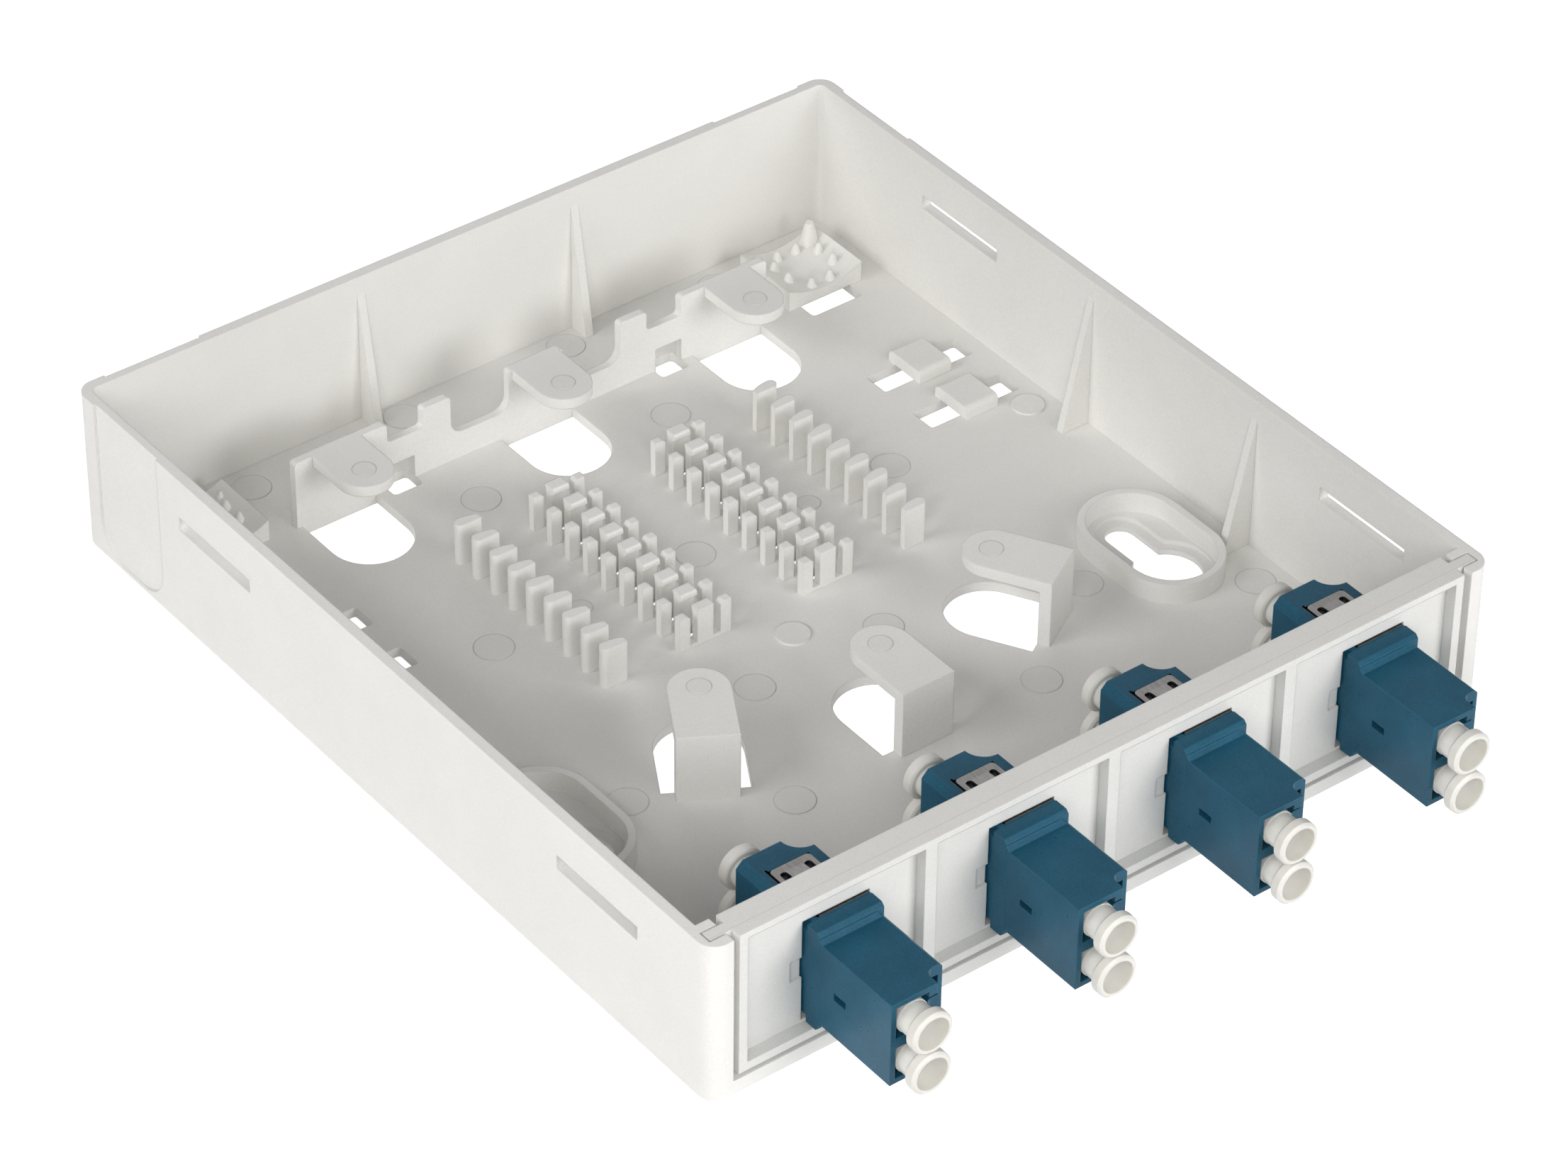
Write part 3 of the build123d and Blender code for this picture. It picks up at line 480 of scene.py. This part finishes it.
# The faces of the seat under a clip that get painted shade: their reach round the gap, and their
# height from the middle
seatShadeReach = {"left": 0.5, "start": 0.35, "right": 1.0, "back": 0.05, "low": 6.3, "high": 7.45}

# The steel clip's sheet thickness, its slots' sides and ends, and its back corners, in millimetres
clipLook = {
    "middle": 0.35, "thick": 0.3, "segments": 6,
    "slotRear": 9.2, "slotSides": (1.3, 2.3), "slotRounding": 0.42,
    "endRear": 10.3, "endSides": (3.0,), "endRounding": 0.6,
}


def boxCutter(low, high):
    cutter = bmesh.new()
    bmesh.ops.create_cube(cutter, size=1.0)
    low, high = Vector(low), Vector(high)
    bmesh.ops.scale(cutter, verts=cutter.verts[:], vec=high - low)
    bmesh.ops.translate(cutter, verts=cutter.verts[:], vec=(low + high) / 2)
    return cutter


# Takes away the nose's right part, and leaves a rounded inner corner
def noseCutter(low, high, middleX):
    look = adapterCuts
    beyond = look["beyond"] * mm
    left, back = middleX + look["noseKeep"] * mm, low.y + look["noseBack"] * mm
    cutter = boxCutter((left, low.y - beyond, low.z - beyond),
                       (high.x + beyond, back, high.z + beyond))
    corner = [edge for edge in cutter.edges
              if all(isAt((v.co.x - left) / mm, 0) and isAt((v.co.y - back) / mm, 0)
                     for v in edge.verts)]
    bmesh.ops.bevel(cutter, geom=corner, offset=look["noseCorner"] * mm, affect="EDGES",
                    segments=look["noseSegments"], profile=0.5, material=-1)
    return cutter


# Bites the tail's right side out, from top to bottom
def biteCutter(middleX, tailY):
    look = adapterCuts
    cutter = bmesh.new()
    bmesh.ops.create_cone(cutter, cap_ends=True, segments=look["biteSides"],
                          radius1=look["biteRadius"] * mm, radius2=look["biteRadius"] * mm,
                          depth=look["biteTall"] * mm)
    place = (middleX + look["biteX"] * mm, tailY, look["middleZ"] * mm)
    bmesh.ops.translate(cutter, verts=cutter.verts[:], vec=place)
    return cutter


# The narrow gap beside a clip: side is 1 for the top one and -1 for the bottom one
def gapCutter(low, high, gapX, side):
    look = adapterCuts
    edgeZ = high.z if side > 0 else low.z
    inside, outside = edgeZ - side * look["gapDeep"] * mm, edgeZ + side * look["gapBeyond"] * mm
    return boxCutter(
        (gapX - look["gapWidth"] * mm, low.y + look["gapStart"] * mm, min(inside, outside)),
        (gapX + look["gapOverlap"] * mm, low.y + look["gapLength"] * mm, max(inside, outside)))


# A copy of an adapter body with the cutters taken from it
def cutCopy(nodeName, cutters):
    seen = newPiece(nodeName + "_seen", mergedMesh(nodeName), [adapterMaterial, seatShadeMaterial])
    for cutter in cutters:
        cutObject = newPiece("cutter", cutter)
        cut = seen.modifiers.new("cut", "BOOLEAN")
        cut.operation = "DIFFERENCE"
        cut.solver = "EXACT"
        cut.object = cutObject
        evaluated = seen.evaluated_get(bpy.context.evaluated_depsgraph_get())
        seen.data = bpy.data.meshes.new_from_object(evaluated)
        seen.modifiers.clear()
        bpy.data.objects.remove(cutObject)
    clean = bmesh.new()
    clean.from_mesh(seen.data)
    bmesh.ops.remove_doubles(clean, verts=clean.verts[:], dist=meshLook["cleanDist"] * mm)
    clean.to_mesh(seen.data)
    clean.free()
    standFor(seen, nodeName)
    return seen


# Paints shade on the seat faces under a clip and in the gap beside it by giving them the dark seat
# material
def paintSeatShade(rear, low, high, gapX):
    look = seatShadeReach
    gapBack = low.y + adapterCuts["gapLength"] * mm
    left, right = gapX - look["left"] * mm, high.x + look["right"] * mm
    start, back = low.y + look["start"] * mm, gapBack + look["back"] * mm
    for face in rear.data.polygons:
        away = abs(face.center.z - adapterCuts["middleZ"] * mm)
        inSeat = left < face.center.x < right and start < face.center.y < back
        if inSeat and look["low"] * mm < away < look["high"] * mm:
            face.material_index = 1


# A copy of a steel clip with the ends of its slots and its back corners rounded
def roundedClip(nodeName, middleX, jointY):
    look = clipLook
    clip = mergedMesh(nodeName)
    bmesh.ops.dissolve_limit(clip, angle_limit=math.radians(meshLook["flatAngle"]),
                             verts=clip.verts[:], edges=clip.edges[:])
    upright = [edge for edge in clip.edges
               if isAt(abs(edge.verts[0].co.z - edge.verts[1].co.z) / mm, look["thick"])]
    chosen = {"slot": [], "end": []}
    for edge in upright:
        away = abs(edge.verts[0].co.x - middleX - look["middle"] * mm) / mm
        back = (edge.verts[0].co.y - jointY) / mm
        for kind, corners in chosen.items():
            inLine = any(isAt(away, x) for x in look[kind + "Sides"])
            if inLine and isAt(back, look[kind + "Rear"]):
                corners.append(edge)
    for kind, corners in chosen.items():
        bmesh.ops.bevel(clip, geom=corners, offset=look[kind + "Rounding"] * mm, affect="EDGES",
                        segments=look["segments"], profile=0.5, material=-1)
    seen = newPiece(nodeName + "_seen", clip, [steelMaterial])
    standFor(seen, nodeName)
    return sum(len(corners) for corners in chosen.values())


# The four adapters
for number in range(1, 5):
    frontName, rearName = f"adapter_front_shell_{number}", f"adapter_rear_shell_{number}"
    low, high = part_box(frontName)
    middleX = (low.x + high.x) / 2
    front = cutCopy(frontName, [noseCutter(low, high, middleX)])
    low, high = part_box(rearName)
    gapX = middleX - adapterCuts["gapLeft"] * mm
    gaps = [gapCutter(low, high, gapX, side) for side in (1, -1)]
    rear = cutCopy(rearName, [biteCutter(middleX, high.y)] + gaps)
    paintSeatShade(rear, low, high, gapX)
    rounded = roundedClip(f"spring_clip_{number}", middleX, low.y)
    print("adapter", number, "bodies:", len(front.data.polygons), len(rear.data.polygons), "faces,",
          rounded, "clip corners rounded")

# Floor and surroundings: seen directly they are white, and they light the object only a little
stageLook = {
    "floorSize": 6.0, "floorDrop": 0.05,
    "floorColour": (0.80, 0.80, 0.80, 1.0), "floorRough": 0.9, "floorGlow": 0.80,
    "worldStrength": 0.10, "worldColour": (0.97, 0.99, 1.03, 1.0),
    "white": (1.0, 1.0, 1.0, 1.0),
}


def seenDirectly(tree):
    path = tree.nodes.new("ShaderNodeLightPath")
    seen = addMath(tree, "MAXIMUM", path.outputs["Is Camera Ray"], path.outputs["Is Glossy Ray"])
    return addMath(tree, "MAXIMUM", seen, path.outputs["Is Transmission Ray"])


# The floor glows a little where it is looked at, so it comes out white and still takes a shadow
floorMat, floorTree, floorShader = newMaterial("studioFloor")[:3]
floorShader.inputs["Base Color"].default_value = stageLook["floorColour"]
floorShader.inputs["Roughness"].default_value = stageLook["floorRough"]
floorShader.inputs["Emission Color"].default_value = stageLook["white"]
glow = addMath(floorTree, "MULTIPLY", seenDirectly(floorTree), stageLook["floorGlow"])
floorTree.links.new(glow, floorShader.inputs["Emission Strength"])
floorMesh = bmesh.new()
bmesh.ops.create_grid(floorMesh, x_segments=1, y_segments=1, size=stageLook["floorSize"] / 2)
bmesh.ops.translate(floorMesh, verts=floorMesh.verts[:], vec=(0, 0, -stageLook["floorDrop"] * mm))
studioFloor = newPiece("studioFloor", floorMesh, [floorMat])

world = bpy.data.worlds.new("studio")
world.use_nodes = True
bpy.context.scene.world = world
worldTree = world.node_tree
background = worldTree.nodes["Background"]
background.inputs["Color"].default_value = stageLook["worldColour"]
background.inputs["Strength"].default_value = stageLook["worldStrength"]
seenWhite = worldTree.nodes.new("ShaderNodeBackground")
seenWhite.inputs["Color"].default_value = stageLook["white"]
seenWhite.inputs["Strength"].default_value = 1.0
worldMix = worldTree.nodes.new("ShaderNodeMixShader")
worldTree.links.new(seenDirectly(worldTree), worldMix.inputs[0])
worldTree.links.new(background.outputs["Background"], worldMix.inputs[1])
worldTree.links.new(seenWhite.outputs["Background"], worldMix.inputs[2])
worldTree.links.new(worldMix.outputs["Shader"], worldTree.nodes["World Output"].inputs["Surface"])

# Soft boxes round the object: direction and height in degrees, and power; all look at the middle
boxLook = {"distance": 0.9, "size": 0.5, "aim": (0, 0, 0.01)}
softBoxes = {
    "leftBox": {"azimuth": 176, "height": 33, "power": 3.4},
    "frontLeftBox": {"azimuth": 230, "height": 31, "power": 3.0},
    "frontLowBox": {"azimuth": 288, "height": 14, "power": 3.0},
    "frontBox": {"azimuth": 285, "height": 27, "power": 1.7},
    "rearBox": {"azimuth": 65, "height": 12, "power": 1.5},
}
for boxName, box in softBoxes.items():
    lampData = bpy.data.lights.new(boxName, "AREA")
    lampData.shape = "SQUARE"
    lampData.size = boxLook["size"]
    lampData.energy = box["power"]
    lamp = bpy.data.objects.new(boxName, lampData)
    turn, rise = math.radians(box["azimuth"]), math.radians(box["height"])
    spot = boxLook["distance"] * Vector(
        (math.cos(turn) * math.cos(rise), math.sin(turn) * math.cos(rise), math.sin(rise)))
    aim = Vector(boxLook["aim"]) - spot
    lamp.matrix_world = Matrix.Translation(spot) @ aim.to_track_quat("-Z", "Y").to_matrix().to_4x4()
    bpy.context.scene.collection.objects.link(lamp)

# Camera: angles in degrees, focal length in pixels, and the pixel where the frame's origin falls
cameraLook = {
    "photoWidth": 2212, "photoHeight": 1659,
    "focalPixels": 8720.5, "distance": 0.79837,
    "azimuth": -37.861, "elevation": 38.255, "roll": 0.717,
    "originPixel": (1086.41, 881.51),
    "sensorWidth": 36.0, "clipStart": 0.01, "clipEnd": 20.0,
}
look = cameraLook
az, el, roll = (math.radians(look[k]) for k in ("azimuth", "elevation", "roll"))
ahead = Vector((-math.sin(az) * math.cos(el), math.cos(az) * math.cos(el), -math.sin(el)))
level = Vector((math.cos(az), math.sin(az), 0.0))
upright = level.cross(ahead)
right = level * math.cos(roll) + upright * math.sin(roll)
up = -level * math.sin(roll) + upright * math.cos(roll)
perPixel = look["distance"] / look["focalPixels"]
sideShift = (look["originPixel"][0] - look["photoWidth"] / 2) * perPixel
downShift = (look["originPixel"][1] - look["photoHeight"] / 2) * perPixel
place = -(ahead * look["distance"] + right * sideShift - up * downShift)
cameraData = bpy.data.cameras.new("photoCamera")
cameraData.sensor_fit = "HORIZONTAL"
cameraData.sensor_width = look["sensorWidth"]
cameraData.lens = look["focalPixels"] / look["photoWidth"] * look["sensorWidth"]
cameraData.clip_start = look["clipStart"]
cameraData.clip_end = look["clipEnd"]
camera = bpy.data.objects.new("photoCamera", cameraData)
facing = Matrix((right, up, -ahead)).transposed().to_4x4()
camera.matrix_world = Matrix.Translation(place) @ facing
bpy.context.scene.collection.objects.link(camera)
bpy.context.scene.camera = camera
bpy.context.scene.view_settings.view_transform = "Standard"
print("stage, light and camera set")
